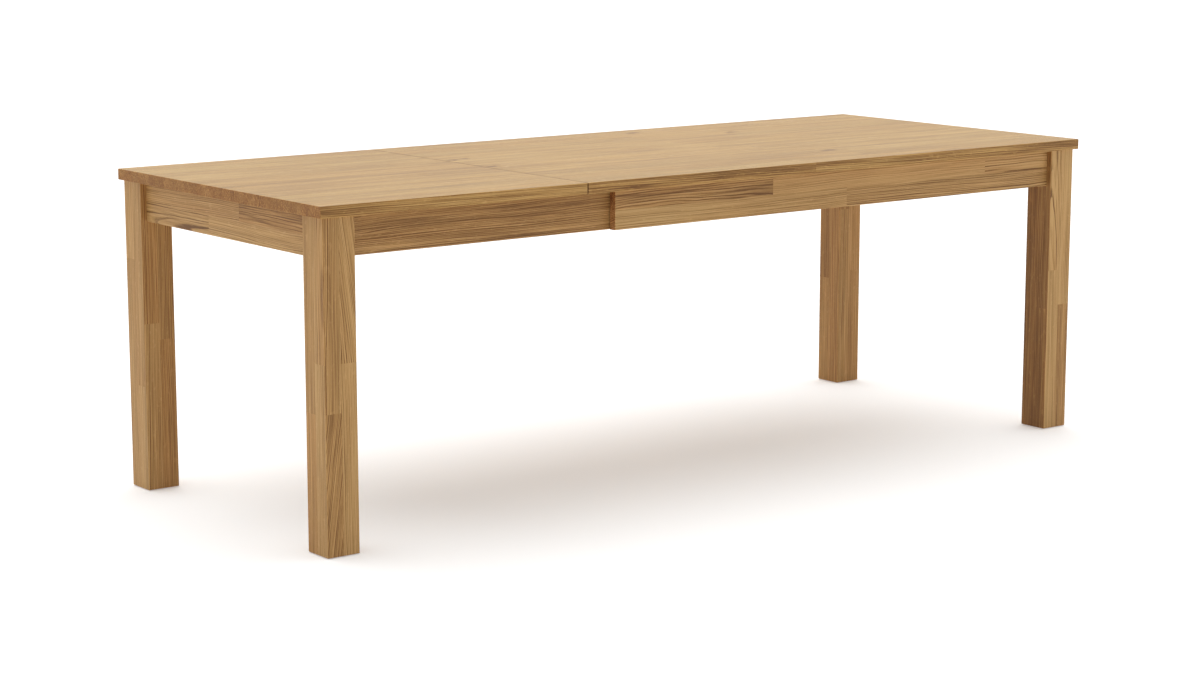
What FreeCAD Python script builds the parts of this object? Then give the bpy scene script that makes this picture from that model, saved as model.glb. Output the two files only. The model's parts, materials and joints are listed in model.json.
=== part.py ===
import FreeCAD, Part
import math
import os

# Extendable dining table in solid oak. Sizes are in millimetres and +Z is up. The origin is
# on the floor under the middle of the extended table. +X runs from the loose leaf towards
# the fixed end, and the front faces -Y.
#
# The main top stands on the two legs of the fixed end, which carry the outer side aprons.
# The other two legs belong to a frame that slides: its inner side aprons run between the
# outer ones, guided by rails under the main top. The loose leaf lies on the pulled-out
# frame, and dowels in its edge line it up with the main top. The table is shown extended.

# Overall sizes
WIDTH = 900.0
HEIGHT = 760.0
TOP_LENGTH = 1600.0  # the main top, which is also the closed table
LEAF_LENGTH = 699.5
SEAM_GAP = 0.5  # between the leaf and the main top
TOP_THICKNESS = 26.0
TOP_EDGE_ROUND = 1.5

# Legs and glides
LEG_SIDE = 80.0
LEG_EDGE_ROUND = 1.5
LEG_SEAT = 8.0  # depth of the flat that the bolts sit on, at the leg's inner corner
TOP_OVERHANG = 10.0  # of the top past the legs
GLIDE_HEIGHT = 2.0
GLIDE_RADIUS = 22.0

# Aprons
APRON_HEIGHT = 92.0
APRON_THICKNESS = 20.0
APRON_RECESS = 15.0  # from a leg's outer face to the apron's
APRON_EDGE_ROUND = 1.5

# The sliding frame
SLIDE_GAP = 2.0  # between the outer and the inner side aprons
TOP_CLEARANCE = 1.0  # between the sliding frame and the tops over it
PAD_THICKNESS = 0.8
PAD_RADIUS = 10.0
CLOSED_GAP = 6.0  # from the outer aprons' free ends to the sliding legs, closed
STOP_GAP = 1.0
BLOCK_CLEARANCE = 5.0  # from the inner aprons' free ends to the corner blocks, closed
CROSS_RAIL_THICKNESS = 20.0
CROSS_RAIL_INSET = 5.0  # from the inner aprons' free ends
CROSS_RAIL_LIFT = 5.0  # above the aprons' lower edges

# Guide rails, with a tongue in a groove of each inner apron
RAIL_WIDTH = 30.0
RAIL_HEIGHT = 40.0
RAIL_GAP = 1.0
RAIL_START_CLEARANCE = 50.0  # from the sliding frame's corner blocks, closed
TONGUE_HEIGHT = 12.0
TONGUE_DEPTH = 9.0
TONGUE_RISE = 6.0  # above the rail's lower face
TONGUE_CLEARANCE = 0.5
RAIL_CLEARANCE = 6.0  # from the cross rail up to the guide rails
STOP_LENGTH = 20.0
STOP_HEIGHT = 34.0
STOP_INSET = 2.0

# Battens under the main top
BATTEN_WIDTH = 60.0
BATTEN_THICKNESS = 20.0
BATTEN_COUNT = 3
BATTEN_MARGIN = 60.0
BATTEN_GAP = 2.0

# Corner blocks
BLOCK_THICKNESS = 30.0
BLOCK_HEIGHT = 66.0
BLOCK_GAP = 2.0  # to the leg's inner corner
BLOCK_DROP = 14.0  # below the aprons' upper edges

# Bolts, nuts and washers, M8
BOLT_RADIUS = 4.0
BOLT_SPACING = 34.0
BOLT_BITE = 35.0  # length in the leg, past its flat
BOLT_TAIL = 5.0  # past the nut
NUT_FLATS = 13.0
NUT_HEIGHT = 6.5
WASHER_RADIUS = 8.5
WASHER_THICKNESS = 1.6
THREAD_CLEARANCE = 0.05
BOLT_CLEARANCE = 0.5  # around the bolts in the corner blocks

# Screws
SCREW_RADIUS = 2.0
SCREW_HEAD_RADIUS = 4.0
SCREW_HEAD_HEIGHT = 2.5
SCREW_CLEARANCE = 0.1
SCREW_SPARE = 0.5  # depth of a pilot hole past the screw's tip
TOP_BITE = 14.0  # length of a screw in the top
SIDE_BITE = 14.0  # length of a block's screw in an apron
APRON_SCREW_WOOD = 40.0
RAIL_SCREW_WOOD = 25.0
BATTEN_SCREW_WOOD = 16.0
BLOCK_SCREW_WOOD = 12.0
STOP_SCREW_WOOD = 24.0
STOP_BITE = 14.0
CROSS_RAIL_BITE = 30.0
BLOCK_SCREW_MARGIN = 14.0  # from the block's upper and lower faces
STOP_SCREW_SHIFT = 7.0  # of the stops' screws from the rails', to each side of the middle
SIDE_APRON_SCREWS = 5
END_APRON_SCREWS = 3
RAIL_SCREWS = 5
BATTEN_SCREWS = 3
SCREW_MARGIN = 70.0
SCREW_FROM_BLOCK = 40.0  # from the corner blocks to the aprons' last screws

# Dowels in the leaf's edge
DOWEL_RADIUS = 5.0
DOWEL_IN_LEAF = 20.0
DOWEL_REACH = 20.0  # past the leaf's edge
DOWEL_ROUND = 1.5
DOWEL_FIT = 0.1
DOWEL_GLUE = 0.05
DOWEL_SPARE = 1.0
DOWEL_INSET = 75.0  # of the outer dowels from the top's long edges
DOWEL_COUNT = 4

# Places worked out from the sizes above. X places are for the extended table.
TRAVEL = LEAF_LENGTH + SEAM_GAP
END_X = (TOP_LENGTH + TRAVEL) / 2
SEAM_X = END_X - TOP_LENGTH
SIDE_Y = WIDTH / 2
TOP_UNDER = HEIGHT - TOP_THICKNESS
FRAME_TOP = TOP_UNDER - TOP_CLEARANCE
APRON_BOTTOM = TOP_UNDER - APRON_HEIGHT
LEG_OUT_X = END_X - TOP_OVERHANG
LEG_OUT_Y = SIDE_Y - TOP_OVERHANG
LEG_IN_X = LEG_OUT_X - LEG_SIDE
LEG_IN_Y = LEG_OUT_Y - LEG_SIDE
END_APRON_OUT = LEG_OUT_X - APRON_RECESS
END_APRON_IN = END_APRON_OUT - APRON_THICKNESS
OUTER_OUT = LEG_OUT_Y - APRON_RECESS
OUTER_IN = OUTER_OUT - APRON_THICKNESS
INNER_OUT = OUTER_IN - SLIDE_GAP
INNER_IN = INNER_OUT - APRON_THICKNESS
OUTER_START = TRAVEL - LEG_IN_X + CLOSED_GAP
BLOCK_TOP = TOP_UNDER - BLOCK_DROP
BLOCK_BOTTOM = BLOCK_TOP - BLOCK_HEIGHT
# On these two lines across a corner, X and Y from the middle add up to the same value.
BLOCK_OUT_SUM = LEG_IN_X + LEG_IN_Y - BLOCK_GAP * math.sqrt(2)
BLOCK_IN_SUM = BLOCK_OUT_SUM - BLOCK_THICKNESS * math.sqrt(2)
INNER_END = BLOCK_IN_SUM - OUTER_IN - BLOCK_CLEARANCE - TRAVEL
CROSS_RAIL_END = INNER_END - CROSS_RAIL_INSET
CROSS_RAIL_START = CROSS_RAIL_END - CROSS_RAIL_THICKNESS
RAIL_OUT = INNER_IN - RAIL_GAP
RAIL_IN = RAIL_OUT - RAIL_WIDTH
RAIL_MIDDLE = (RAIL_OUT + RAIL_IN) / 2
RAIL_BOTTOM = TOP_UNDER - RAIL_HEIGHT
RAIL_START = TRAVEL - (BLOCK_IN_SUM - INNER_IN) + RAIL_START_CLEARANCE
CLOSING_STOP = CROSS_RAIL_END + TRAVEL + STOP_GAP
RAIL_END = CLOSING_STOP + STOP_LENGTH
OPENING_STOP = CROSS_RAIL_START - STOP_GAP - STOP_LENGTH
TONGUE_BOTTOM = RAIL_BOTTOM + TONGUE_RISE
BATTEN_END = RAIL_IN - BATTEN_GAP
DOWEL_Z = HEIGHT - TOP_THICKNESS / 2
LEAF_EDGE = SEAM_X - SEAM_GAP

V = FreeCAD.Vector
UP = V(0, 0, 1)
MIDDLE = V(0, 0, 0)
ACROSS = V(0, 1, 0)
LEFT, RIGHT = -1, 1


def block(x0, x1, y0, y1, z0, z1):
    """A box between these places."""
    return Part.makeBox(x1 - x0, y1 - y0, z1 - z0, V(x0, y0, z0))


def rod(start, direction, length, radius):
    return Part.makeCylinder(radius, length, start, direction)


def both_sides(front):
    """The solids of the front side with their mirror images at the back."""
    return front + [mirrored(solid) for solid in front]


def mirrored(solid):
    return solid.mirror(MIDDLE, ACROSS)


def mirrored_place(place):
    point, direction, length = place
    return (V(point.x, -point.y, point.z), V(direction.x, -direction.y, direction.z), length)


def spaced(first, last, count):
    """That many places, evenly spaced from first to last."""
    return [first + (last - first) * i / (count - 1) for i in range(count)]


def eased(solid, radius, chosen):
    """The solid with the chosen edges rounded."""
    return solid.makeFillet(radius, [edge for edge in solid.Edges if chosen(edge)])


def runs_along(edge, axis):
    return abs(edge.tangentAt(edge.FirstParameter).dot(axis)) > 0.99


def screw(place):
    """A screw from the point under its head, its direction and its shank's length."""
    point, direction, length = place
    head = rod(point - direction * SCREW_HEAD_HEIGHT, direction, SCREW_HEAD_HEIGHT, SCREW_HEAD_RADIUS)
    return head.fuse(rod(point, direction, length, SCREW_RADIUS))


def screw_hole(place, counterbore):
    """The hole for a screw, with a counterbore of that depth for its head."""
    point, direction, length = place
    shank = rod(point, direction, length + SCREW_SPARE, SCREW_RADIUS + SCREW_CLEARANCE)
    wide = rod(
        point - direction * counterbore,
        direction,
        counterbore,
        SCREW_HEAD_RADIUS + SCREW_CLEARANCE,
    )
    return shank.fuse(wide)


def drilled(solid, places, counterbore=SCREW_HEAD_HEIGHT):
    """The solid with the holes of these screws."""
    return solid.cut([screw_hole(place, counterbore) for place in places])


# Where the screws are


def outer_apron_screws():
    """Up through the front outer apron into the main top."""
    y = -(OUTER_OUT + OUTER_IN) / 2
    last = BLOCK_IN_SUM - OUTER_IN - SCREW_FROM_BLOCK
    places = spaced(OUTER_START + SCREW_MARGIN, last, SIDE_APRON_SCREWS)
    z = TOP_UNDER - APRON_SCREW_WOOD
    return [(V(x, y, z), UP, APRON_SCREW_WOOD + TOP_BITE) for x in places]


def end_apron_screws():
    """Up through the fixed end apron into the main top."""
    x = (END_APRON_OUT + END_APRON_IN) / 2
    last = BLOCK_IN_SUM - END_APRON_IN - SCREW_FROM_BLOCK
    places = spaced(-last, last, END_APRON_SCREWS)
    z = TOP_UNDER - APRON_SCREW_WOOD
    return [(V(x, y, z), UP, APRON_SCREW_WOOD + TOP_BITE) for y in places]


def rail_screws():
    """Up through the front guide rail into the main top."""
    y = STOP_SCREW_SHIFT - RAIL_MIDDLE
    places = spaced(RAIL_START + SCREW_MARGIN, RAIL_END - SCREW_MARGIN, RAIL_SCREWS)
    z = TOP_UNDER - RAIL_SCREW_WOOD
    return [(V(x, y, z), UP, RAIL_SCREW_WOOD + TOP_BITE) for x in places]


def stop_screws(start):
    """Up through the front stop that starts at this X, into the rail over it."""
    y = -RAIL_MIDDLE - STOP_SCREW_SHIFT
    z = RAIL_BOTTOM - STOP_SCREW_WOOD
    return [(V(start + STOP_LENGTH / 2, y, z), UP, STOP_SCREW_WOOD + STOP_BITE)]


def batten_places():
    """The X of each batten's middle."""
    half = BATTEN_WIDTH / 2
    return spaced(RAIL_START + BATTEN_MARGIN + half, RAIL_END - BATTEN_MARGIN - half, BATTEN_COUNT)


def batten_screws(x):
    """Up through the batten whose middle is at this X, into the main top."""
    z = TOP_UNDER - BATTEN_SCREW_WOOD
    places = spaced(SCREW_MARGIN - BATTEN_END, BATTEN_END - SCREW_MARGIN, BATTEN_SCREWS)
    return [(V(x, y, z), UP, BATTEN_SCREW_WOOD + TOP_BITE) for y in places]


def cross_rail_screws():
    """Through the front inner apron into the end of the cross rail, with sunk heads."""
    x = (CROSS_RAIL_START + CROSS_RAIL_END) / 2
    bottom, top = cross_rail_heights()
    third = (top - bottom) / 3
    y = SCREW_HEAD_HEIGHT - INNER_OUT
    length = APRON_THICKNESS - SCREW_HEAD_HEIGHT + CROSS_RAIL_BITE
    return [(V(x, y, z), ACROSS, length) for z in (bottom + third, top - third)]


def cross_rail_heights():
    return APRON_BOTTOM + CROSS_RAIL_LIFT, RAIL_BOTTOM - RAIL_CLEARANCE


def block_screws(end, side_face):
    """Through the front corner block of this end, two into each apron that it meets."""
    half = BLOCK_THICKNESS / math.sqrt(2)
    side_x = BLOCK_IN_SUM - side_face + half
    end_y = BLOCK_IN_SUM - END_APRON_IN + half
    length = BLOCK_SCREW_WOOD + SIDE_BITE
    places = []
    for z in (BLOCK_BOTTOM + BLOCK_SCREW_MARGIN, BLOCK_TOP - BLOCK_SCREW_MARGIN):
        places.append((V(end * side_x, BLOCK_SCREW_WOOD - side_face, z), -ACROSS, length))
        places.append((V(end * (END_APRON_IN - BLOCK_SCREW_WOOD), -end_y, z), V(end, 0, 0), length))
    return places


# Tops


def panel(start, end):
    """A board of the top from one X to another, with eased edges."""
    board = block(start, end, -SIDE_Y, SIDE_Y, TOP_UNDER, HEIGHT)
    return board.makeFillet(TOP_EDGE_ROUND, board.Edges)


def dowel_places():
    return spaced(DOWEL_INSET - SIDE_Y, SIDE_Y - DOWEL_INSET, DOWEL_COUNT)


def dowel_holes(direction, depth, radius):
    """Holes in an edge at the seam: direction is RIGHT into the main top, LEFT into the leaf."""
    start = SEAM_X if direction == RIGHT else LEAF_EDGE
    return [rod(V(start, y, DOWEL_Z), V(direction, 0, 0), depth, radius) for y in dowel_places()]


def main_top():
    places = outer_apron_screws() + rail_screws()
    places += [mirrored_place(place) for place in places]
    places += end_apron_screws()
    for x in batten_places():
        places += batten_screws(x)
    board = panel(SEAM_X, END_X)
    depth = DOWEL_REACH - SEAM_GAP + DOWEL_SPARE
    board = board.cut(dowel_holes(RIGHT, depth, DOWEL_RADIUS + DOWEL_FIT))
    return drilled(board, places)


def leaf_panel():
    depth = DOWEL_IN_LEAF + DOWEL_SPARE
    board = panel(-END_X, LEAF_EDGE)
    return board.cut(dowel_holes(LEFT, depth, DOWEL_RADIUS + DOWEL_GLUE))


def leaf_dowels():
    dowels = []
    for y in dowel_places():
        start = V(LEAF_EDGE - DOWEL_IN_LEAF, y, DOWEL_Z)
        dowel = rod(start, V(1, 0, 0), DOWEL_IN_LEAF + DOWEL_REACH, DOWEL_RADIUS)
        dowels.append(dowel.makeFillet(DOWEL_ROUND, [e for e in dowel.Edges if e.Closed]))
    return dowels


# Legs


def corner(end, out, z):
    """The point on the front corner's diagonal at this end, out from the leg's inner edge."""
    step = out / math.sqrt(2)
    return V(end * (LEG_IN_X + step), -LEG_IN_Y - step, z)


def outward(end):
    return V(end, -1, 0).normalize()


def bolt_heights():
    middle = (BLOCK_TOP + BLOCK_BOTTOM) / 2
    return (middle - BOLT_SPACING / 2, middle + BOLT_SPACING / 2)


def leg(end):
    """The front leg at this end, with its bolts' holes and the flat that they enter."""
    top = TOP_UNDER if end == RIGHT else FRAME_TOP
    x0, x1 = sorted((end * LEG_IN_X, end * LEG_OUT_X))
    post = block(x0, x1, -LEG_OUT_Y, -LEG_IN_Y, GLIDE_HEIGHT, top)
    post = eased(post, LEG_EDGE_ROUND, lambda edge: runs_along(edge, UP))
    reach = LEG_SIDE
    seat = Part.makeBox(reach * 2, LEG_SEAT * 2, top - APRON_BOTTOM, V(-reach, -LEG_SEAT, 0))
    seat.rotate(MIDDLE, UP, end * 45)
    seat.translate(corner(end, 0, APRON_BOTTOM))
    depth = LEG_SEAT + BOLT_BITE + SCREW_SPARE
    radius = BOLT_RADIUS + THREAD_CLEARANCE
    holes = [rod(corner(end, 0, z), outward(end), depth, radius) for z in bolt_heights()]
    return post.cut([seat] + holes)


def glides(end):
    """Felt discs under both legs of this end."""
    x = end * (LEG_IN_X + LEG_OUT_X) / 2
    y = -(LEG_IN_Y + LEG_OUT_Y) / 2
    return both_sides([rod(V(x, y, 0), UP, GLIDE_HEIGHT, GLIDE_RADIUS)])


# Aprons


def lower_edges(edge):
    """The long edges along the bottom."""
    low = edge.BoundBox.ZMax < APRON_BOTTOM + 1
    return low and edge.Length > 2 * APRON_THICKNESS


def free_end(x):
    """Tests for the upright and lower edges of the end face at this X."""

    def chosen(edge):
        at_end = abs(edge.BoundBox.XMin - x) < 0.01 and abs(edge.BoundBox.XMax - x) < 0.01
        return lower_edges(edge) or (at_end and runs_along(edge, UP))

    return chosen


def outer_apron():
    """The front outer side apron, from its free end to the fixed leg."""
    board = block(OUTER_START, LEG_IN_X, -OUTER_OUT, -OUTER_IN, APRON_BOTTOM, TOP_UNDER)
    board = eased(board, APRON_EDGE_ROUND, free_end(OUTER_START))
    board = drilled(board, outer_apron_screws(), APRON_HEIGHT)
    return drilled(board, block_screws(RIGHT, OUTER_IN))


def inner_apron():
    """The front inner side apron, grooved on its inner face for the guide rail's tongue."""
    board = block(-LEG_IN_X, INNER_END, -INNER_OUT, -INNER_IN, APRON_BOTTOM, FRAME_TOP)
    board = eased(board, APRON_EDGE_ROUND, lower_edges)
    groove = block(
        -LEG_IN_X,
        INNER_END,
        -RAIL_OUT - TONGUE_DEPTH - TONGUE_CLEARANCE,
        -INNER_IN,
        TONGUE_BOTTOM - TONGUE_CLEARANCE,
        TONGUE_BOTTOM + TONGUE_HEIGHT + TONGUE_CLEARANCE,
    )
    board = drilled(board.cut(groove), block_screws(LEFT, INNER_IN))
    return drilled(board, cross_rail_screws())


def end_apron(end):
    """The apron between the two legs of this end."""
    top = TOP_UNDER if end == RIGHT else FRAME_TOP
    side_face = OUTER_IN if end == RIGHT else INNER_IN
    x0, x1 = sorted((end * END_APRON_IN, end * END_APRON_OUT))
    board = block(x0, x1, -LEG_IN_Y, LEG_IN_Y, APRON_BOTTOM, top)
    board = eased(board, APRON_EDGE_ROUND, lower_edges)
    if end == RIGHT:
        board = drilled(board, end_apron_screws(), APRON_HEIGHT)
    places = block_screws(end, side_face)
    return drilled(board, places + [mirrored_place(place) for place in places])


# Corner blocks with their bolts


def corner_block(end, side_face):
    """The front corner block of this end, across the corner behind the leg."""
    outline = [
        (BLOCK_OUT_SUM - side_face, side_face),
        (END_APRON_IN, BLOCK_OUT_SUM - END_APRON_IN),
        (END_APRON_IN, BLOCK_IN_SUM - END_APRON_IN),
        (BLOCK_IN_SUM - side_face, side_face),
    ]
    points = [V(end * x, -y, BLOCK_BOTTOM) for x, y in outline]
    face = Part.Face(Part.makePolygon(points + points[:1]))
    solid = face.extrude(V(0, 0, BLOCK_HEIGHT))
    inner = BLOCK_GAP + BLOCK_THICKNESS
    radius = BOLT_RADIUS + BOLT_CLEARANCE
    holes = [
        rod(corner(end, -inner - 1, z), outward(end), BLOCK_THICKNESS + 2, radius)
        for z in bolt_heights()
    ]
    return drilled(solid.cut(holes), block_screws(end, side_face), BLOCK_THICKNESS)


def hanger_bolts(end):
    """From the nuts, through the block, into the leg."""
    tail = BLOCK_GAP + BLOCK_THICKNESS + WASHER_THICKNESS + NUT_HEIGHT + BOLT_TAIL
    length = tail + LEG_SEAT + BOLT_BITE
    front = [rod(corner(end, -tail, z), outward(end), length, BOLT_RADIUS) for z in bolt_heights()]
    return both_sides(front)


def washers(end):
    out = -BLOCK_GAP - BLOCK_THICKNESS - WASHER_THICKNESS
    front = []
    for z in bolt_heights():
        disc = rod(corner(end, out, z), outward(end), WASHER_THICKNESS, WASHER_RADIUS)
        hole = rod(corner(end, out, z), outward(end), WASHER_THICKNESS, BOLT_RADIUS + BOLT_CLEARANCE)
        front.append(disc.cut(hole))
    return both_sides(front)


def nuts(end):
    out = -BLOCK_GAP - BLOCK_THICKNESS - WASHER_THICKNESS - NUT_HEIGHT
    radius = NUT_FLATS / math.sqrt(3)
    front = []
    for z in bolt_heights():
        points = []
        for i in range(6):
            angle = math.radians(60 * i)
            points.append(V(radius * math.cos(angle), radius * math.sin(angle), 0))
        face = Part.Face(Part.makePolygon(points + points[:1]))
        nut = face.extrude(V(0, 0, NUT_HEIGHT))
        nut = nut.cut(rod(MIDDLE, UP, NUT_HEIGHT, BOLT_RADIUS + THREAD_CLEARANCE))
        nut.Placement = FreeCAD.Placement(corner(end, out, z), FreeCAD.Rotation(UP, outward(end)))
        front.append(nut)
    return both_sides(front)


def block_screw_set(end, side_face):
    return both_sides([screw(place) for place in block_screws(end, side_face)])


# Slide parts


def guide_rail():
    """The front guide rail under the main top, with its tongue."""
    body = block(RAIL_START, RAIL_END, -RAIL_OUT, -RAIL_IN, RAIL_BOTTOM, TOP_UNDER)
    tongue = block(
        RAIL_START,
        RAIL_END,
        -RAIL_OUT - TONGUE_DEPTH,
        -RAIL_OUT,
        TONGUE_BOTTOM,
        TONGUE_BOTTOM + TONGUE_HEIGHT,
    )
    rail = body.fuse(tongue).removeSplitter()
    rail = drilled(rail, rail_screws(), RAIL_HEIGHT)
    return drilled(rail, stop_screws(OPENING_STOP) + stop_screws(CLOSING_STOP))


def stops(start):
    """The stops under both rails that start at this X."""
    solid = block(
        start,
        start + STOP_LENGTH,
        STOP_INSET - RAIL_OUT,
        -RAIL_IN - STOP_INSET,
        RAIL_BOTTOM - STOP_HEIGHT,
        RAIL_BOTTOM,
    )
    return both_sides([drilled(solid, stop_screws(start), STOP_HEIGHT)])


def cross_rail():
    """The rail that joins the free ends of the inner aprons, under the guide rails."""
    bottom, top = cross_rail_heights()
    board = block(CROSS_RAIL_START, CROSS_RAIL_END, -INNER_IN, INNER_IN, bottom, top)
    places = cross_rail_screws()
    return drilled(board, places + [mirrored_place(place) for place in places])


def leaf_pads():
    """Felt dots that carry the leaf: on the legs, and along the aprons of the sliding frame."""
    leg_x = -(LEG_IN_X + LEG_OUT_X) / 2
    leg_y = -(LEG_IN_Y + LEG_OUT_Y) / 2
    side_y = -(INNER_OUT + INNER_IN) / 2
    front = [rod(V(leg_x, leg_y, FRAME_TOP), UP, PAD_THICKNESS, PAD_RADIUS)]
    for x in spaced(SCREW_MARGIN - LEG_IN_X, LEAF_EDGE - SCREW_MARGIN, 3):
        front.append(rod(V(x, side_y, FRAME_TOP), UP, PAD_THICKNESS, APRON_THICKNESS / 2 - 1))
    return both_sides(front)


def batten(x):
    """A batten across the underside of the main top, with its middle at this X."""
    half = BATTEN_WIDTH / 2
    board = block(x - half, x + half, -BATTEN_END, BATTEN_END, TOP_UNDER - BATTEN_THICKNESS, TOP_UNDER)
    return drilled(board, batten_screws(x), BATTEN_THICKNESS)


def screws(places):
    return [screw(place) for place in places]


def save(name, solids):
    """Writes one node: a solid, or a group of separate solids."""
    shape = solids if not isinstance(solids, list) else Part.makeCompound(solids)
    shape.exportStep(os.path.join("parts", name + ".step"))


def save_pair(name, front):
    """Writes a front piece and its mirror image as two nodes."""
    save(name + "_front", front)
    save(name + "_back", mirrored(front))


os.makedirs("parts", exist_ok=True)

save("main_top", main_top())
save("leaf_panel", leaf_panel())
save("leaf_dowels", leaf_dowels())

for side, end, side_face in (("fixed", RIGHT, OUTER_IN), ("sliding", LEFT, INNER_IN)):
    save_pair(side + "_leg", leg(end))
    save(side + "_end_apron", end_apron(end))
    save_pair(side + "_corner_block", corner_block(end, side_face))
    save(side + "_hanger_bolts", hanger_bolts(end))
    save(side + "_washers", washers(end))
    save(side + "_nuts", nuts(end))
    save(side + "_block_screws", block_screw_set(end, side_face))
    save(side + "_leg_glides", glides(end))

save_pair("outer_apron", outer_apron())
save_pair("inner_apron", inner_apron())
save_pair("guide_rail", guide_rail())
save("opening_stops", stops(OPENING_STOP))
save("closing_stops", stops(CLOSING_STOP))
save("cross_rail", cross_rail())
save("leaf_pads", leaf_pads())

all_batten_screws = []
for number, x in enumerate(batten_places(), 1):
    save("top_batten_" + str(number), batten(x))
    all_batten_screws += screws(batten_screws(x))

save("batten_screws", all_batten_screws)
save("outer_apron_screws", both_sides(screws(outer_apron_screws())))
save("end_apron_screws", screws(end_apron_screws()))
save("guide_rail_screws", both_sides(screws(rail_screws())))
save("stop_screws", both_sides(screws(stop_screws(OPENING_STOP) + stop_screws(CLOSING_STOP))))
save("cross_rail_screws", both_sides(screws(cross_rail_screws())))
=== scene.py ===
import json
import math
import random

import bmesh
import bpy
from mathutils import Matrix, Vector


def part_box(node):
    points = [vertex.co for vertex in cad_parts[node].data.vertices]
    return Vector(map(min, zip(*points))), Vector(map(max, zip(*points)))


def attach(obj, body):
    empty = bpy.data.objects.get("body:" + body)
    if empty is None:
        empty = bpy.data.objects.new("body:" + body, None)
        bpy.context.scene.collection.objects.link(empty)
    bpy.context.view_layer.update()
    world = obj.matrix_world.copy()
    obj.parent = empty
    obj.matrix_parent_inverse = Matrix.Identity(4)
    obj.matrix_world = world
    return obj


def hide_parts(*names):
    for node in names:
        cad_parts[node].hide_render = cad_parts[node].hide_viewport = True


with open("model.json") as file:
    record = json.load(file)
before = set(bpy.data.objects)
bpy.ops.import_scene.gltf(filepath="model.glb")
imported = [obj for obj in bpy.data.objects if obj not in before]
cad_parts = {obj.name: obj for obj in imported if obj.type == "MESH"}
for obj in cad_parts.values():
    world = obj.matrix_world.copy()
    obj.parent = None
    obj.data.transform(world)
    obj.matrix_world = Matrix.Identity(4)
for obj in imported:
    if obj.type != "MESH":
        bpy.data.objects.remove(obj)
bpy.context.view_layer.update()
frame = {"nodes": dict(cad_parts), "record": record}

# An extendable dining table in oak. The tops, legs and aprons are glued up from staves: each
# board's mesh is cut along its glue joints, and every stave gets its own place in an
# imaginary log, from which one node material works out rings, pores, rays and end grain.
# Axes: X along the table, Y across it, Z up. All sizes are in metres, and colours are linear.

X, Y, Z = 0, 1, 2
BODY_OF = {
    node: body
    for body, nodes in frame["record"]["behaviour"]["bodies"].items()
    for node in nodes
}
TOP_LO, TOP_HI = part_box("main_top")
SEAM = TOP_LO.x
LEAF_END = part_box("leaf_panel")[0].x
FRONT = TOP_LO.y
TABLE_HEIGHT = TOP_HI.z


# Materials

# Colours of each wood, from the darkest grain to the palest, and their places in its figure.
OAK = ((0.165, 0.078, 0.025), (0.290, 0.159, 0.053), (0.430, 0.251, 0.090), (0.565, 0.360, 0.148))
TOP_OAK = ((0.165, 0.078, 0.022), (0.280, 0.157, 0.046), (0.410, 0.247, 0.078), (0.535, 0.354, 0.128))
PINE = ((0.26, 0.13, 0.05), (0.40, 0.23, 0.09), (0.52, 0.33, 0.15), (0.62, 0.44, 0.24))
BEECH = ((0.31, 0.18, 0.10), (0.40, 0.25, 0.14), (0.47, 0.31, 0.18), (0.54, 0.38, 0.24))
COLOUR_PLACES = (0.0, 0.3, 0.6, 1.0)

# What multiplies a wood's colour.
RED_TINT = (1.0, 0.885, 0.80)
END_GRAIN_TINT = (1.0, 0.83, 0.78)
KNOT_TINT = (0.34, 0.23, 0.16)
WORN_TINT = (1.12, 1.10, 1.06)
# Painted shade for the rounded edges along the seam, where the joint between the tops is in shade.
SEAM_SHADE_TINT = (0.30, 0.22, 0.15)

# Spacing of the rings of each wood.
OAK_RING = 0.0038
TOP_OAK_RING = 0.0040
PINE_RING = 0.0042
BEECH_RING = 0.0035

# How far the rings stray from circles, and how often and how much their widths change.
RING_WANDER = 0.030
RING_RIPPLE = 0.0032
WIDTH_CHANGES = 60.0  # per metre
WIDTH_SPREAD = 1.8  # in rings
# How dark a ring is from its start, at 0, to its end, at 1.
RING_PROFILE = [(0.0, 0.0), (0.06, 1.0), (0.22, 0.85), (0.42, 0.15), (1.0, 0.0)]

# How fast each pattern changes, per metre: along the log, then the two ways across it.
WANDER_RATE = (1.7, 8.0, 8.0)
RIPPLE_RATE = (9.0, 50.0, 50.0)
BROAD_RATE = (1.4, 24.0, 24.0)
PATCH_RATE = (2.0, 30.0, 30.0)
BAND_RATE = (2.4, 120.0, 120.0)
STREAK_RATE = (4.0, 330.0, 330.0)
FIBRE_RATE = (12.0, 700.0, 700.0)
PORE_RATE = (140.0, 2400.0, 2400.0)
RAY_RATE = (55.0, 90.0, 110.0)  # along the log, out from the pith, and per radian around it

KNOT_STRETCH = (0.45, 1.0, 0.3)  # a knot is longest where this is least
KNOT_SWIRL = 2.0  # how far it bends the rings, in its radii
KNOT_WOBBLE = 0.6  # how uneven its edge is, in its radii
KNOT_FADE = (0.55, 1.15)  # where its dark starts and stops fading, in its radii
KNOT_WOBBLE_RATE = (160.0, 160.0, 160.0)

# Depth of each relief.
GRAIN_RELIEF = 0.00016
STEEL_RELIEF = 0.00003
FELT_RELIEF = 0.0004

FLOOR_GLOW = 0.25


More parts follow.
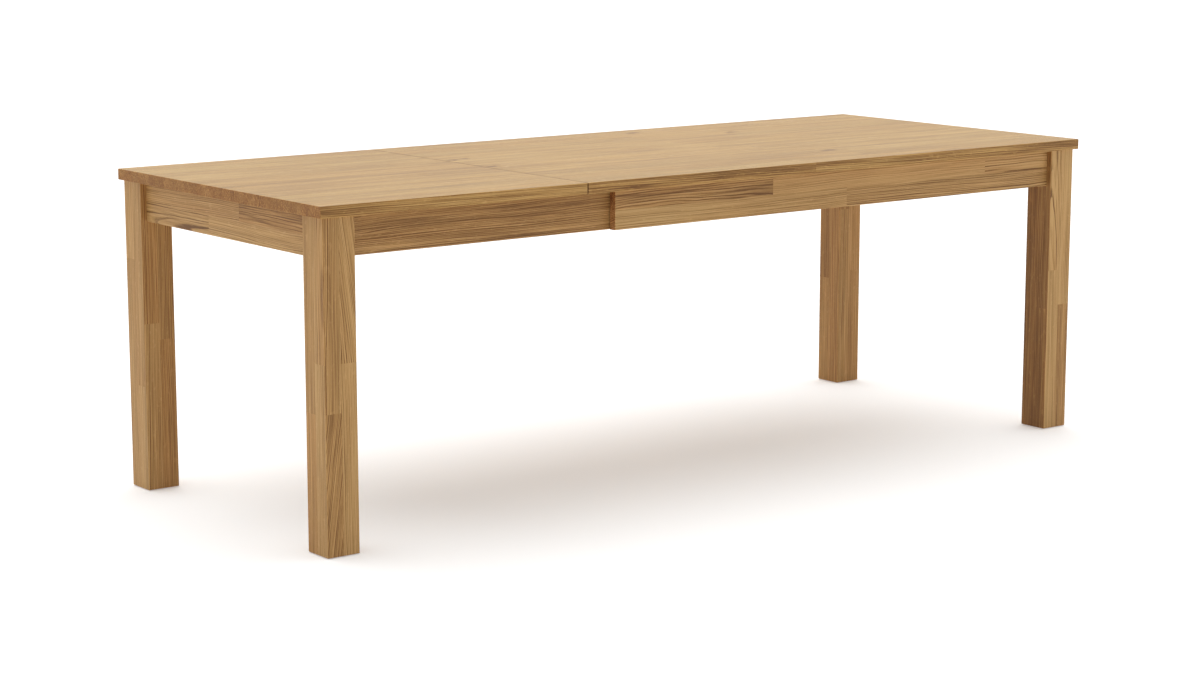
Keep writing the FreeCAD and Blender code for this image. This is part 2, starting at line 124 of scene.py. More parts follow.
class Recipe:
    """A material's node tree, with short calls for what is done often."""

    def __init__(self, name):
        self.material = bpy.data.materials.new(name)
        self.material.use_nodes = True
        self.tree = self.material.node_tree
        self.tree.nodes.clear()
        self.shader = self.put("BsdfPrincipled")
        output = self.put("OutputMaterial")
        self.tree.links.new(self.shader.outputs["BSDF"], output.inputs["Surface"])

    def put(self, kind, **settings):
        node = self.tree.nodes.new("ShaderNode" + kind)
        for name, value in settings.items():
            setattr(node, name, value)
        return node

    def feed(self, socket, source):
        """Links another node's output to the socket, or sets its plain value."""
        if isinstance(source, bpy.types.NodeSocket):
            self.tree.links.new(source, socket)
        else:
            socket.default_value = source

    def maths(self, operation, *values):
        node = self.put("Math", operation=operation)
        for socket, value in zip(node.inputs, values):
            self.feed(socket, value)
        return node.outputs[0]

    def vectors(self, operation, *values):
        node = self.put("VectorMath", operation=operation)
        for socket, value in zip(node.inputs, values):
            self.feed(socket, value)
        return node.outputs["Value" if operation == "LENGTH" else "Vector"]

    def mixed(self, parts, start=0.0):
        """start plus each (value, weight) part, where the value counts from its middle, 0.5."""
        total = start
        for value, weight in parts:
            total = self.maths("MULTIPLY_ADD", self.maths("SUBTRACT", value, 0.5), weight, total)
        return total

    def attribute(self, name):
        return self.put("Attribute", attribute_name=name)

    def here(self):
        """The place of the shaded point on its piece."""
        return self.put("TexCoord").outputs["Object"]

    def noise(self, vector, by, detail=1.0, rough=0.5):
        """Noise from 0 to 1 over the vector, with its parts multiplied by the three numbers."""
        node = self.put("TexNoise")
        node.inputs["Scale"].default_value = 1.0
        node.inputs["Detail"].default_value = detail
        node.inputs["Roughness"].default_value = rough
        self.feed(node.inputs["Vector"], self.vectors("MULTIPLY", vector, by))
        return node.outputs["Fac"]

    def smooth(self, value, low, high):
        """0 below low, 1 above high, and smooth between them."""
        node = self.put("MapRange", interpolation_type="SMOOTHSTEP")
        self.feed(node.inputs["Value"], value)
        node.inputs["From Min"].default_value = low
        node.inputs["From Max"].default_value = high
        return node.outputs["Result"]

    def ramp(self, value, stops):
        """A colour from (place, colour) stops. A plain number is a grey."""
        node = self.put("ValToRGB")
        self.feed(node.inputs["Fac"], value)
        elements = node.color_ramp.elements
        while len(elements) < len(stops):
            elements.new(0.5)
        for element, (place, colour) in zip(elements, stops):
            if not isinstance(colour, tuple):
                colour = (colour, colour, colour)
            element.position = place
            element.color = (*colour, 1.0)
        return node.outputs["Color"]

    def tinted(self, colour, amount, tint):
        """The colour multiplied by the tint, by that amount."""
        node = self.put("Mix", data_type="RGBA", blend_type="MULTIPLY")
        factor, first, second = node.inputs[0], node.inputs[6], node.inputs[7]
        self.feed(factor, amount)
        self.feed(first, colour)
        second.default_value = (*tint, 1.0)
        return node.outputs[2]

    def bump(self, height, depth):
        """Raises the surface by height, which is from 0 to 1, times depth in metres."""
        node = self.put("Bump")
        node.inputs["Strength"].default_value = 1.0
        node.inputs["Distance"].default_value = depth
        self.feed(node.inputs["Height"], height)
        self.feed(self.shader.inputs["Normal"], node.outputs["Normal"])


class Wood(Recipe):
    """Wood cut from a log. The mesh's "log" attribute holds the place along the log and the two
    places across it from its pith. "tone" holds the stave's lightness, redness and contrast, each
    0.5 for plain, and 1 on end grain. A third attribute is 1 on worn rounded edges, and -1 on those
    at the seam, which get painted shade. colours run from the darkest grain to the palest, ring is
    the rings' spacing, and each of the knots is its place and its radius."""

    def __init__(self, name, colours, ring, roughness, knots=()):
        super().__init__(name)
        self.log = self.attribute("log").outputs["Vector"]
        tone = self.attribute("tone")
        parts = self.put("SeparateColor")
        self.feed(parts.inputs["Color"], tone.outputs["Color"])
        self.lightness, self.redness, self.contrast = parts.outputs
        self.end_grain = tone.outputs["Alpha"]
        self.wear_and_seam_shade = self.attribute("wear_and_seam_shade").outputs["Fac"]
        self.radius = self.vectors("LENGTH", self.vectors("MULTIPLY", self.log, (0.0, 1.0, 1.0)))
        self.bent, self.knot = self.bent_rings(knots)
        self.early = self.early_wood(ring)
        self.band = self.noise(self.log, BAND_RATE)
        self.fibre = self.noise(self.log, FIBRE_RATE, detail=2.0, rough=0.6)
        self.pore = self.pores()
        self.ray = self.ray_flecks()
        self.paint(colours)
        self.polish(roughness)

    def knot_field(self, place, size):
        """How near a small knot is, from 0 to 1, to bend the grain, and how dark the knot is."""
        here = self.here()
        apart = self.vectors("MULTIPLY", self.vectors("SUBTRACT", here, place), KNOT_STRETCH)
        distance = self.vectors("LENGTH", apart)
        near = self.maths("EXPONENT", self.maths("MULTIPLY", distance, -0.5 / size))
        wobble = self.noise(here, KNOT_WOBBLE_RATE, detail=2.0)
        edge = self.maths("MULTIPLY_ADD", wobble, size * KNOT_WOBBLE, distance)
        full, gone = KNOT_FADE
        return near, self.maths("SUBTRACT", 1.0, self.smooth(edge, size * full, size * gone))

    def bent_rings(self, knots):
        """The distance from the pith with the rings' wander along the log, their ripple over short
        lengths and their swirl round a knot, and how dark the knots are."""
        wander = self.noise(self.log, WANDER_RATE)
        ripple = self.noise(self.log, RIPPLE_RATE)
        bent = self.mixed([(wander, RING_WANDER), (ripple, RING_RIPPLE)], self.radius)
        darkest = 0.0
        for place, size in knots:
            near, dark = self.knot_field(place, size)
            bent = self.maths("MULTIPLY_ADD", near, size * KNOT_SWIRL, bent)
            darkest = self.maths("MAXIMUM", dark, darkest)
        return bent, darkest

    def early_wood(self, ring):
        """The dark porous wood at the start of each ring. Ring widths and strengths differ, and
        end grain shows them more."""
        uneven = self.put("TexNoise", noise_dimensions="1D")
        uneven.inputs["Scale"].default_value = WIDTH_CHANGES
        uneven.inputs["Detail"].default_value = 1.0
        self.feed(uneven.inputs["W"], self.bent)
        spread = self.maths("MULTIPLY", uneven.outputs["Fac"], WIDTH_SPREAD)
        count = self.maths("MULTIPLY_ADD", self.bent, 1.0 / ring, spread)
        chance = self.put("TexWhiteNoise", noise_dimensions="1D")
        self.feed(chance.inputs["W"], self.maths("FLOOR", count))
        strength = self.maths("MULTIPLY_ADD", chance.outputs["Value"], 0.7, 0.3)
        early = self.ramp(self.maths("FRACT", count), RING_PROFILE)
        early = self.maths("MULTIPLY", early, strength)
        return self.maths("MULTIPLY", early, self.maths("MULTIPLY_ADD", self.end_grain, 0.6, 1.0))

    def pores(self):
        """Short dark dashes, most of them in the early wood."""
        dashes = self.smooth(self.noise(self.log, PORE_RATE), 0.53, 0.66)
        return self.maths("MULTIPLY", dashes, self.maths("MULTIPLY_ADD", self.early, 0.85, 0.15))

    def ray_flecks(self):
        """Thin plates that run along the log and out from its pith: flecks on a quartered face,
        short dashes on a flat-sawn one."""
        parts = self.put("SeparateXYZ")
        self.feed(parts.inputs[0], self.log)
        around = self.maths("ARCTAN2", parts.outputs[2], parts.outputs[1])
        joined = self.put("CombineXYZ")
        self.feed(joined.inputs[0], parts.outputs[0])
        self.feed(joined.inputs[1], self.radius)
        self.feed(joined.inputs[2], around)
        return self.smooth(self.noise(joined.outputs[0], RAY_RATE), 0.62, 0.72)

    def figure(self):
        """From 0, dark, to 1, pale, with more or less contrast on each stave."""
        broad = self.noise(self.log, BROAD_RATE)
        streak = self.noise(self.log, STREAK_RATE, rough=0.6)
        lines = self.mixed([(self.band, 0.45), (broad, 0.5), (streak, 1.05), (self.fibre, 0.55)])
        lines = self.maths("MULTIPLY_ADD", self.early, -0.66, self.maths("ADD", lines, 0.15))
        lines = self.maths("MULTIPLY_ADD", self.pore, -0.30, lines)
        lines = self.maths("MULTIPLY_ADD", self.ray, 0.12, lines)
        lines = self.maths("MULTIPLY", lines, self.maths("MULTIPLY", self.contrast, 2.0))
        lines = self.maths("ADD", self.maths("ADD", lines, self.lightness), 0.04)
        return self.maths("MULTIPLY_ADD", self.end_grain, -0.20, lines)

    def paint(self, colours):
        """The figure's colour, with redder and yellower stretches, redder end grain, dark knots,
        paler worn rounded edges and painted shade on the rounded edges at the seam."""
        colour = self.ramp(self.figure(), list(zip(COLOUR_PLACES, colours)))
        patch = self.noise(self.log, PATCH_RATE)
        colour = self.tinted(colour, self.mixed([(patch, 0.8)], self.redness), RED_TINT)
        colour = self.tinted(colour, self.end_grain, END_GRAIN_TINT)
        colour = self.tinted(colour, self.maths("MULTIPLY", self.knot, 0.90), KNOT_TINT)
        colour = self.tinted(colour, self.maths("MULTIPLY", self.wear_and_seam_shade, 0.6), WORN_TINT)
        # Painted shade: the rounded edges at the seam are darkened as if the joint were in shade.
        colour = self.tinted(colour, self.maths("MULTIPLY", self.wear_and_seam_shade, -0.8), SEAM_SHADE_TINT)
        self.feed(self.shader.inputs["Base Color"], colour)

    def polish(self, roughness):
        """Pores and end grain are duller than the rest, and rays are glossier. Pores and early
        wood lie lower."""
        gloss = self.mixed([(self.fibre, 0.10), (self.band, 0.08)], roughness)
        gloss = self.maths("MULTIPLY_ADD", self.pore, 0.20, gloss)
        gloss = self.maths("MULTIPLY_ADD", self.ray, -0.07, gloss)
        gloss = self.maths("MULTIPLY_ADD", self.end_grain, 0.15, gloss)
        self.feed(self.shader.inputs["Roughness"], gloss)
        height = self.mixed([(self.fibre, 0.30)], 0.6)
        height = self.maths("MULTIPLY_ADD", self.pore, -0.45, height)
        height = self.maths("MULTIPLY_ADD", self.early, -0.12, height)
        self.bump(height, GRAIN_RELIEF)
        self.shader.inputs["Specular IOR Level"].default_value = 0.18


def steel():
    """Zinc-plated steel: pale, slightly blue and yellow in patches, with fine turning marks."""
    recipe = Recipe("zinc_plated_steel")
    here = recipe.here()
    patch = recipe.noise(here, (180.0, 180.0, 180.0), detail=3.0)
    fine = recipe.noise(here, (2500.0, 2500.0, 900.0), detail=2.0)
    stops = [(0.3, (0.50, 0.50, 0.46)), (0.5, (0.60, 0.60, 0.60)), (0.7, (0.56, 0.59, 0.65))]
    recipe.feed(recipe.shader.inputs["Base Color"], recipe.ramp(patch, stops))
    recipe.feed(recipe.shader.inputs["Roughness"], recipe.mixed([(fine, 0.25), (patch, 0.2)], 0.36))
    recipe.shader.inputs["Metallic"].default_value = 1.0
    recipe.bump(fine, STEEL_RELIEF)
    return recipe.material


def felt():
    """Pressed brown felt, with loose fibres."""
    recipe = Recipe("brown_felt")
    here = recipe.here()
    clump = recipe.noise(here, (700.0, 700.0, 700.0), detail=4.0, rough=0.7)
    hair = recipe.noise(here, (3500.0, 900.0, 2500.0), detail=2.0)
    stops = [(0.3, (0.10, 0.075, 0.05)), (0.55, (0.19, 0.145, 0.10)), (0.8, (0.29, 0.23, 0.17))]
    recipe.feed(recipe.shader.inputs["Base Color"], recipe.ramp(clump, stops))
    recipe.shader.inputs["Roughness"].default_value = 0.95
    recipe.shader.inputs["Sheen Weight"].default_value = 0.12
    recipe.bump(recipe.mixed([(hair, 0.6)], clump), FELT_RELIEF)
    return recipe.material


def pale_floor():
    """A matt near-white studio floor, faintly uneven. Its own glow keeps it near white."""
    recipe = Recipe("studio_floor")
    here = recipe.here()
    patch = recipe.noise(here, (0.8, 0.8, 0.8), detail=2.0)
    stops = [(0.3, (0.815, 0.812, 0.808)), (0.7, (0.825, 0.824, 0.822))]
    recipe.feed(recipe.shader.inputs["Base Color"], recipe.ramp(patch, stops))
    recipe.shader.inputs["Roughness"].default_value = 0.9
    recipe.shader.inputs["Specular IOR Level"].default_value = 0.2
    recipe.shader.inputs["Emission Color"].default_value = (1.0, 1.0, 1.0, 1.0)
    recipe.shader.inputs["Emission Strength"].default_value = FLOOR_GLOW
    return recipe.material


def white_backdrop():
    """Nothing but an even white glow."""
    recipe = Recipe("studio_backdrop")
    recipe.shader.inputs["Base Color"].default_value = (0.0, 0.0, 0.0, 1.0)
    recipe.shader.inputs["Emission Color"].default_value = (1.0, 1.0, 1.0, 1.0)
    recipe.shader.inputs["Emission Strength"].default_value = 1.0
    return recipe.material


# Boards made of staves

NEAR = 1e-5  # two places this close count as one
SAME_CORNER = 1e-6
CUT_MARGIN = 1e-4  # a joint this close to a board's end isn't cut
UNDER_FACE = 1e-4  # how deep under a face its stave is looked for
SEAM_EDGE = 0.003  # an edge this close to the seam gets painted shade
SHARP_EDGE = math.radians(50)
FACES_AXIS = 0.7  # a face looks along an axis if its normal's part there is at least this
FLAT = 0.999  # a normal with so large a part is a flat face's
IN_PLANE = 0.01  # a normal with a part below this is square to that axis
PITH_AWAY = (0.05, 0.13)
LEAN_BESIDE = 0.015  # most that the pith leans sideways, for its length
LEAN_BEHIND = 0.005
LEAN_OF_ARCHES = 0.025  # what arches add to it
LOG_LENGTH = 60.0
FIRST_SHARE = (0.3, 1.0)  # a row's first stave, as a share of the longest
LAST_SHARE = 0.6  # least for its last, as a share of the shortest


class Stave:
    """A box of wood with one grain: its corners, the axis of its grain, and its look. Its main
    face looks along the axis shows. With sawn at 0 degrees its pith lies beside that face, which
    is then finely lined, and at 90 behind it, which gives arches. slope is how far the lines lean.
    A stave that is only a face's layer is left out of the other faces."""

    def __init__(self, lo, hi, grain, shows, rng, light, red, contrast, sawn, slope=0.0, layer=False):
        self.lo, self.hi, self.grain = lo, hi, grain
        self.layer = shows if layer else None
        self.tone = (light, red, contrast)
        self.middle = (lo + hi) / 2
        self.sides = [axis for axis in (X, Y, Z) if axis != grain]
        angle = math.radians(sawn)
        away = rng.uniform(*PITH_AWAY)
        behind = (away * math.sin(angle), LEAN_BEHIND + LEAN_OF_ARCHES * abs(math.sin(angle)))
        beside = (away * math.cos(angle), LEAN_BESIDE)
        pairs = [behind if axis == shows else beside for axis in self.sides]
        self.pith = [distance for distance, _ in pairs]
        self.slope = [rng.uniform(-lean, lean) for _, lean in pairs]
        self.slope[self.sides.index(shows) - 1] += slope
        self.along = rng.uniform(0.0, LOG_LENGTH)

    def is_on(self, normal):
        """Whether a face with this normal may show the stave."""
        return self.layer is None or abs(normal[self.layer]) >= FACES_AXIS

    def holds(self, point, normal):
        inside = all(self.lo[i] - NEAR <= point[i] <= self.hi[i] + NEAR for i in (X, Y, Z))
        return inside and self.is_on(normal)

    def reaches(self, face):
        """Whether the face may show the stave and their boxes meet."""
        for axis in (X, Y, Z):
            places = [vertex.co[axis] for vertex in face.verts]
            if max(places) < self.lo[axis] - NEAR or min(places) > self.hi[axis] + NEAR:
                return False
        return self.is_on(face.normal)

    def ends_at(self, axis, place):
        return abs(self.lo[axis] - place) < NEAR or abs(self.hi[axis] - place) < NEAR

    def log_place(self, point):
        """Where a point of this stave was in its log."""
        reach = point[self.grain] - self.middle[self.grain]
        across = [
            point[axis] - self.middle[axis] + pith + slope * reach
            for axis, pith, slope in zip(self.sides, self.pith, self.slope)
        ]
        return (self.along + reach, *across)


def cut_at(bm, faces, axis, place):
    """Cuts these faces along a plane across the axis."""
    geometry = set(faces)
    for face in faces:
        geometry.update(face.edges)
        geometry.update(face.verts)
    point, normal = Vector((0, 0, 0)), Vector((0, 0, 0))
    point[axis] = place
    normal[axis] = 1.0
    bmesh.ops.bisect_plane(bm, geom=list(geometry), dist=SAME_CORNER, plane_co=point, plane_no=normal)


def cut_joints(bm, node, staves):
    """Cuts the board's faces where staves meet, and last across the grain."""
    lo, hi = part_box(node)
    for axis in sorted((X, Y, Z), key=lambda each: each == staves[0].grain):
        places = {round(s.lo[axis], 6) for s in staves} | {round(s.hi[axis], 6) for s in staves}
        for place in sorted(places):
            if lo[axis] + CUT_MARGIN < place < hi[axis] - CUT_MARGIN:
                meeting = [stave for stave in staves if stave.ends_at(axis, place)]
                faces = [face for face in bm.faces if any(stave.reaches(face) for stave in meeting)]
                cut_at(bm, faces, axis, place)


def smooth_faces(bm):
    """Smooth shading that breaks at sharp edges."""
    for edge in bm.edges:
        edge.smooth = len(edge.link_faces) == 2 and edge.calc_face_angle(0.0) < SHARP_EDGE
    for face in bm.faces:
        face.smooth = True


def wear_and_seam_shade_of(normal, centre):
    """1 where the surface curves about one axis, as on worn rounded edges, or -1 there at the seam,
    which gets painted shade, and 0 on flat faces and rounded corners."""
    parts = [abs(part) for part in normal]
    if max(parts) > FLAT or min(parts) >= IN_PLANE:
        return 0.0
    return -1.0 if abs(centre.x - SEAM) < SEAM_EDGE else 1.0


def mark_wood(bm, staves):
    """Tells each face its place in its stave's log, its tone, and its worn edge or painted seam
    shade.
    """
    log = bm.loops.layers.float_vector.new("log")
    tone = bm.loops.layers.float_color.new("tone")
    wear_and_seam_shade = bm.loops.layers.float.new("wear_and_seam_shade")
    for face in bm.faces:
        face.normal_update()
        centre = face.calc_center_median() - face.normal * UNDER_FACE
        stave = next((s for s in staves if s.holds(centre, face.normal)), None)
        stave = stave or min(staves, key=lambda s: (s.middle - centre).length)
        end = 1.0 if abs(face.normal[stave.grain]) > FACES_AXIS else 0.0
        for loop in face.loops:
            loop[log] = stave.log_place(loop.vert.co)
            loop[tone] = (*stave.tone, end)
            loop[wear_and_seam_shade] = wear_and_seam_shade_of(face.normal, centre)


def staved_piece(node, staves, material):
    """Stands for a CAD board, with its mesh cut where staves meet and marked as wood."""
    mesh = frame["nodes"][node].data.copy()
    mesh.name = node + "_wood"
    bm = bmesh.new()
    bm.from_mesh(mesh)
    bmesh.ops.remove_doubles(bm, verts=bm.verts, dist=SAME_CORNER)
    bm.normal_update()
    cut_joints(bm, node, staves)
    smooth_faces(bm)
    mark_wood(bm, staves)
    bm.to_mesh(mesh)
    bm.free()
    mesh.materials.clear()
    mesh.materials.append(material)
    piece = bpy.data.objects.new(node + "_wood", mesh)
    bpy.context.scene.collection.objects.link(piece)
    weighted = piece.modifiers.new("even_shading", "WEIGHTED_NORMAL")
    weighted.keep_sharp = True
    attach(piece, BODY_OF[node])
    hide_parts(node)


def split(lo, hi, axis, places):
    """The box cut at these places along the axis."""
    edges = [lo[axis], *sorted(places), hi[axis]]
    boxes = []
    for start, stop in zip(edges, edges[1:]):
        low, high = lo.copy(), hi.copy()
        low[axis], high[axis] = start, stop
        boxes.append((low, high))
    return boxes


def random_joints(rng, lo, hi, least, most):
    """Places between lo and hi, at random lengths from each other."""
    places = []
    place = lo + rng.uniform(*FIRST_SHARE) * most
    while place < hi - least * LAST_SHARE:
        places.append(place)
        place += rng.uniform(least, most)
    return places


TOP_ROWS = 12
TOP_LENGTHS = (0.75, 1.3)
TOP_LIGHTNESS = (0.48, 0.58)
TOP_REDNESS = (0.1, 0.45)
TOP_CONTRAST = (0.50, 0.62)
TOP_SAWN = (-30, 30)
TOP_EDGE_REDNESS = 0.9
TOP_EDGE_CONTRAST = 0.95
TOP_EDGE_SAWN = (12, 28)


def top_staves(node, edge_shade, rng):
    """Boards along the top, some butted end to end, nearly alike, with finely lined faces. The
    front and back edges have their own lined layer, darker by edge_shade."""
    lo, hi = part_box(node)
    rows = split(lo, hi, Y, [lo.y + (hi.y - lo.y) * i / TOP_ROWS for i in range(1, TOP_ROWS)])
    edges = []
    boards = []
    for row, (low, high) in enumerate(rows):
        joints = random_joints(rng, lo.x, hi.x, *TOP_LENGTHS)
        for part_low, part_high in split(low, high, X, joints):
            light = rng.uniform(*TOP_LIGHTNESS)
            red = rng.uniform(*TOP_REDNESS)
            contrast = rng.uniform(*TOP_CONTRAST)
            sawn = rng.choice((0, 180)) + rng.uniform(*TOP_SAWN)
            boards.append(Stave(part_low, part_high, X, Z, rng, light, red, contrast, sawn))
            if row in (0, TOP_ROWS - 1):
                sawn = rng.uniform(*TOP_EDGE_SAWN)
                look = (light - edge_shade, TOP_EDGE_REDNESS, TOP_EDGE_CONTRAST, sawn)
                edges.append(Stave(part_low, part_high, X, Y, rng, *look, layer=True))
    return edges + boards


LEG_JOINT_HEIGHTS = (0.2, 0.6)


def leg_staves(node, layout, rng):
    """Each face of a leg shows two columns of lamellae. layout gives those of the two visible
    faces, as LEGS does, and the others are random."""
    lo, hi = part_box(node)
    middle = (lo + hi) / 2
    staves = []
    for side, across in ((X, Y), (Y, X)):
        for half in split(lo, hi, side, [middle[side]]):
            columns = split(*half, across, [middle[across]])
            shown = half[0][side] == lo[side]
            for column, (low, high) in enumerate(columns):
                places, looks = layout[side][column] if shown else random_column(rng)
                for (part_low, part_high), look in zip(split(low, high, Z, places), looks):
                    staves.append(Stave(part_low, part_high, Z, side, rng, *look, layer=True))
    return staves


def random_column(rng):
    """A column of a leg with one joint, between a lower and an upper look."""
    looks = (DARK, MEDIUM, PALE, MEDIUM_STRAIGHT, PALE_REDDISH)
    return [rng.uniform(*LEG_JOINT_HEIGHTS)], rng.sample(looks, 2)


def apron_staves(node, grain, rows, rng):
    """Two rows of staves, lower first. Each row is its joints along the grain and its looks."""
    lo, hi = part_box(node)
    staves = []
    for (low, high), (places, looks) in zip(split(lo, hi, Z, [(lo.z + hi.z) / 2]), rows):
        for (part_low, part_high), look in zip(split(low, high, grain, places), looks):
            staves.append(Stave(part_low, part_high, grain, X if grain == Y else Y, rng, *look))
    return staves


PLAIN_LIGHTNESS = (0.4, 0.6)
PLAIN_REDNESS = (0.3, 0.6)
PLAIN_CONTRAST = 0.5


def plain_staves(node, grain, rng):
    """A board cut in one from the log."""
    lo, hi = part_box(node)
    shows = X if grain == Y else Y
    light = rng.uniform(*PLAIN_LIGHTNESS)
    red = rng.uniform(*PLAIN_REDNESS)
    return [Stave(lo, hi, grain, shows, rng, light, red, PLAIN_CONTRAST, rng.uniform(0, 360))]


# The oak pieces

# A look is lightness, redness, contrast, how the stave is sawn, and for some how far its lines
# lean. STRAIGHT and LINED looks are finely lined, and FIGURED ones show arches.
DARK = (0.40, 0.60, 0.58, 70)
DARK_STRAIGHT = (0.38, 0.60, 0.52, 15)
DARK_SLOPING = (0.42, 0.60, 0.58, 30, -0.14)
MEDIUM = (0.54, 0.50, 0.55, 75)
MEDIUM_STRAIGHT = (0.53, 0.50, 0.52, 15)
MEDIUM_SLOPING = (0.56, 0.50, 0.56, 40, 0.12)
PALE = (0.66, 0.35, 0.50, 12)
PALE_REDDISH = (0.68, 0.65, 0.45, 20)
REDDISH = (0.50, 0.90, 0.52, 5)
VERY_PALE = (0.76, 0.35, 0.50, 10)
VERY_PALE_SLOPING = (0.64, 0.50, 0.85, 80)
# Partly painted shade, for the back right leg's side that faces in under the top.
DARK_RED = (0.36, 0.90, 0.55, 10)
DARKER_RED = (0.32, 0.90, 0.55, 10)
MEDIUM_RED = (0.53, 0.75, 0.52, 15)
DARK_FIGURED = (0.31, 0.65, 0.78, 55)
DARK_RED_FIGURED = (0.29, 0.90, 0.60, 55)
MEDIUM_FIGURED = (0.50, 0.50, 0.66, 45)
PALE_FIGURED = (0.58, 0.60, 0.72, 60)
# Partly painted shade: darker for the inner front apron's upper row, which lies under the top.
DARK_LINED = (0.34, 0.70, 0.62, 20)
STRONGLY_LINED = (0.42, 0.75, 0.80, 14)
MEDIUM_LINED = (0.54, 0.60, 0.50, 12)
# Painted shade: darker looks for the side of the front right leg that faces away from the light, in
# the shade under the top.
SHADED = (0.18, 0.90, 0.50, 12)
SHADED_PALER = (0.22, 0.80, 0.50, 10)
SHADED_RED = (0.13, 1.00, 0.50, 5)

# Each apron's lower row, then its upper row: its joints and its looks.
OUTER_FRONT = (
    ([LEAF_END + 1.509], [PALE, MEDIUM_FIGURED]),
    ([LEAF_END + 1.271, LEAF_END + 1.983], [DARK_FIGURED, PALE_REDDISH, PALE_FIGURED]),
)
# The upper row's darker look is partly painted shade under the top's overhang.
INNER_FRONT = (
    ([], [STRONGLY_LINED]),
    ([], [DARK_LINED]),
)
LEAF_END_APRON = (
    ([FRONT + 0.518], [PALE, MEDIUM]),
    ([FRONT + 0.382], [DARK_RED_FIGURED, MEDIUM_LINED]),
)
# Each leg's two visible faces. The first looks towards the leaf's end, and its columns run from
# the front to the back. The second looks to the front, and its columns run from left to right.
# A column is the heights of its joints and its looks from the floor up.
LEGS = {
    "sliding_leg_front": (
        (([0.42], [PALE, MEDIUM]), ([0.309], [REDDISH, MEDIUM_STRAIGHT])),
        (([0.314], [DARK_SLOPING, MEDIUM_STRAIGHT]), ([0.42], [PALE, MEDIUM_SLOPING])),
    ),
    "fixed_leg_front": (
        # Its side towards the leaf's end has the painted shade looks.
        (([0.32], [SHADED, SHADED_PALER]), ([], [SHADED_RED])),
        (([0.421], [VERY_PALE, VERY_PALE_SLOPING]), ([0.328], [MEDIUM_RED, VERY_PALE])),
    ),
    "sliding_leg_back": (
        (([0.25], [PALE, MEDIUM_STRAIGHT]), ([0.55], [MEDIUM_STRAIGHT, PALE_REDDISH])),
        (([0.40], [MEDIUM_STRAIGHT, REDDISH]), ([0.36], [REDDISH, DARK_STRAIGHT])),
    ),
    "fixed_leg_back": (
        # Its side towards the leaf's end faces in under the top, and its darker looks partly paint
        # the shade there.
        (([0.52], [DARK_RED, DARK_STRAIGHT]), ([0.30], [DARK_STRAIGHT, DARKER_RED])),
        (([0.50], [MEDIUM_STRAIGHT, DARK_STRAIGHT]), ([0.323], [REDDISH, REDDISH])),
    ),
}
# The main top's knots: how far each is from the seam and from the front, and its radius.
KNOTS = (
    (0.900, 0.192, 0.018),
    (0.777, 0.830, 0.016),
    (1.003, 0.690, 0.015),
    (0.022, 0.401, 0.014),
    (0.026, 0.574, 0.014),
    (0.066, 0.582, 0.011),
)
# How much darker the front and back edges of the tops are than their faces.
MAIN_EDGE_SHADE = 0.15
LEAF_EDGE_SHADE = 0.09
APRON_LENGTHS = (0.35, 0.7)


def random_rows(rng, node, grain):
    """Two rows, each its joints and looks, for an apron that the front view doesn't show."""
    lo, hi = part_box(node)
    looks = (DARK, MEDIUM, PALE, MEDIUM_STRAIGHT, PALE_REDDISH, DARK_STRAIGHT)
    rows = []
    for _ in range(2):
        places = random_joints(rng, lo[grain], hi[grain], *APRON_LENGTHS)
        rows.append((places, [rng.choice(looks) for _ in range(len(places) + 1)]))
    return rows


def oak_pieces():
    knots = []
    for along, across, size in KNOTS:
        knots.append((Vector((SEAM + along, FRONT + across, TABLE_HEIGHT)), size))
    oak = Wood("oak", OAK, OAK_RING, roughness=0.50).material
    main_oak = Wood("oak_main_top", TOP_OAK, TOP_OAK_RING, roughness=0.45, knots=knots).material
    leaf_oak = Wood("oak_leaf", TOP_OAK, TOP_OAK_RING, roughness=0.45).material
    rng = random.Random(7)
    staved_piece("main_top", top_staves("main_top", MAIN_EDGE_SHADE, rng), main_oak)
    staved_piece("leaf_panel", top_staves("leaf_panel", LEAF_EDGE_SHADE, rng), leaf_oak)
    for node, layout in LEGS.items():
        staved_piece(node, leg_staves(node, layout, rng), oak)
    aprons = {
        "outer_apron_front": (X, OUTER_FRONT),
        "inner_apron_front": (X, INNER_FRONT),
        "sliding_end_apron": (Y, LEAF_END_APRON),
        "outer_apron_back": (X, None),
        "inner_apron_back": (X, None),
        "fixed_end_apron": (Y, None),
    }
    for node, (grain, rows) in aprons.items():
        rows = rows or random_rows(rng, node, grain)
        staved_piece(node, apron_staves(node, grain, rows, rng), oak)


def inner_pieces():
    pine = Wood("pine", PINE, PINE_RING, roughness=0.62).material
    beech = Wood("beech", BEECH, BEECH_RING, roughness=0.55).material
    rng = random.Random(11)
    boards = {
        "guide_rail_front": X,
        "guide_rail_back": X,
        "opening_stops": X,
        "closing_stops": X,
        "cross_rail": Y,
        "top_batten_1": Y,
        "top_batten_2": Y,
        "top_batten_3": Y,
        "fixed_corner_block_front": Y,
        "fixed_corner_block_back": Y,
        "sliding_corner_block_front": Y,
        "sliding_corner_block_back": Y,
    }
    for node, grain in boards.items():
        staved_piece(node, plain_staves(node, grain, rng), pine)
    staved_piece("leaf_dowels", plain_staves("leaf_dowels", X, rng), beech)


def fittings():
    """The CAD screws, bolts and felt keep their shapes and get their materials."""
    materials = {"zinc_steel": steel(), "felt": felt()}
    for part in frame["record"]["subparts"]:
        material = materials.get(part["material_slot"])
        if material:
            for material_slot in frame["nodes"][part["node"]].material_slots:
                material_slot.material = material


# The studio

ROUND_SEGMENTS = 64
FLOOR_RADIUS = 60.0
DOME_RADIUS = 55.0
DOME_BOTTOM = -1.0
CAMERA_PLACE = Vector((-4.045, -5.178, 1.457))
CAMERA_TURN = math.radians(-37.504)
CAMERA_TILT = math.radians(79.99)
CAMERA_LENS = 80.09  # in millimetres, as is the sensor
CAMERA_SENSOR = 36.0
CAMERA_REACH = 200.0
SKY = 0.31
SUN = 3.25
SUN_ANGLE = math.radians(90.0)
SUN_DIRECTION = Vector((-0.13, -0.28, -1.0))


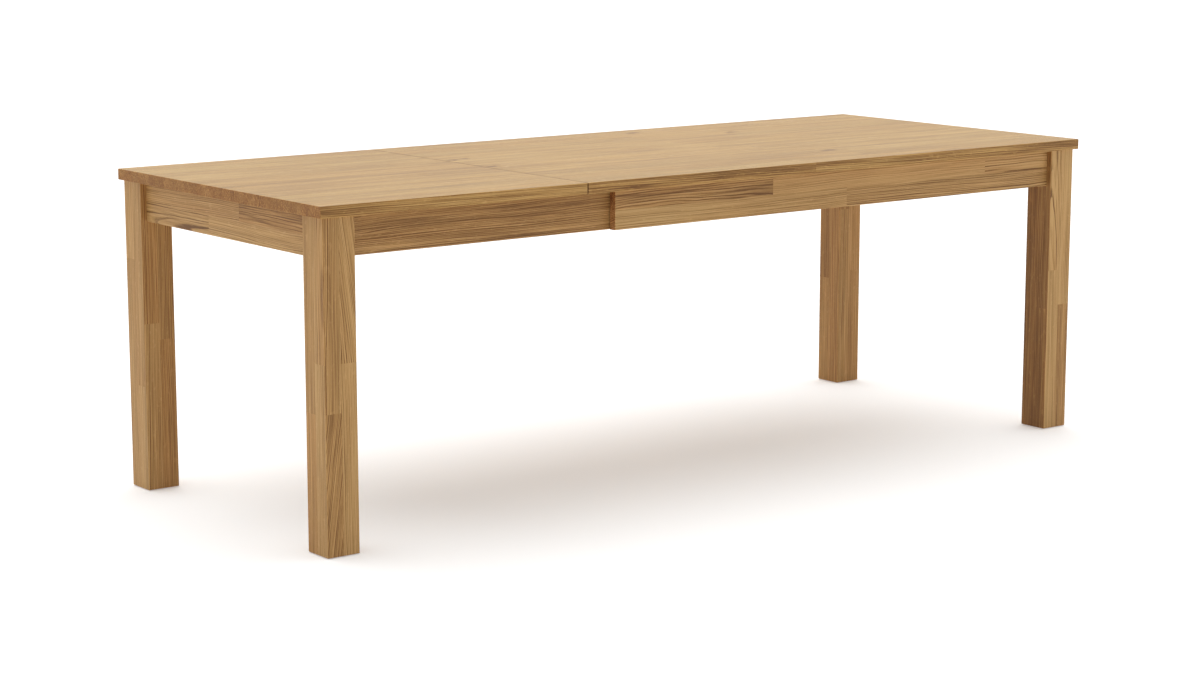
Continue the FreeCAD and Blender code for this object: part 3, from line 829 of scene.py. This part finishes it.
def white_dome():
    """A white backdrop round the floor: the camera and reflections see it, and it gives no light."""
    mesh = bpy.data.meshes.new("backdrop")
    bm = bmesh.new()
    rings = ROUND_SEGMENTS // 2
    bmesh.ops.create_uvsphere(bm, u_segments=ROUND_SEGMENTS, v_segments=rings, radius=DOME_RADIUS)
    below = [vertex for vertex in bm.verts if vertex.co.z < DOME_BOTTOM]
    bmesh.ops.delete(bm, geom=below, context="VERTS")
    bm.to_mesh(mesh)
    bm.free()
    mesh.materials.append(white_backdrop())
    dome = bpy.data.objects.new("backdrop", mesh)
    bpy.context.scene.collection.objects.link(dome)
    dome.visible_diffuse = False
    dome.visible_shadow = False


def floor_disc():
    mesh = bpy.data.meshes.new("floor")
    bm = bmesh.new()
    bmesh.ops.create_circle(bm, cap_ends=True, segments=ROUND_SEGMENTS, radius=FLOOR_RADIUS)
    bm.to_mesh(mesh)
    bm.free()
    mesh.materials.append(pale_floor())
    floor = bpy.data.objects.new("floor", mesh)
    bpy.context.scene.collection.objects.link(floor)


def lights():
    """An even white sky, and a very wide sun from above."""
    world = bpy.data.worlds.new("studio")
    world.use_nodes = True
    background = world.node_tree.nodes["Background"]
    background.inputs["Color"].default_value = (1.0, 1.0, 1.0, 1.0)
    background.inputs["Strength"].default_value = SKY
    bpy.context.scene.world = world

    sun = bpy.data.objects.new("overhead", bpy.data.lights.new("overhead", "SUN"))
    sun.data.energy = SUN
    sun.data.angle = SUN_ANGLE
    sun.rotation_euler = SUN_DIRECTION.to_track_quat("-Z", "Y").to_euler()
    bpy.context.scene.collection.objects.link(sun)


def camera():
    view = bpy.data.objects.new("camera", bpy.data.cameras.new("camera"))
    view.location = CAMERA_PLACE
    view.rotation_euler = (CAMERA_TILT, 0.0, CAMERA_TURN)
    view.data.lens = CAMERA_LENS
    view.data.sensor_width = CAMERA_SENSOR
    view.data.clip_end = CAMERA_REACH
    bpy.context.scene.collection.objects.link(view)
    bpy.context.scene.camera = view


camera()
floor_disc()
lights()
white_dome()
oak_pieces()
inner_pieces()
fittings()
bpy.context.scene.view_settings.view_transform = "Standard"
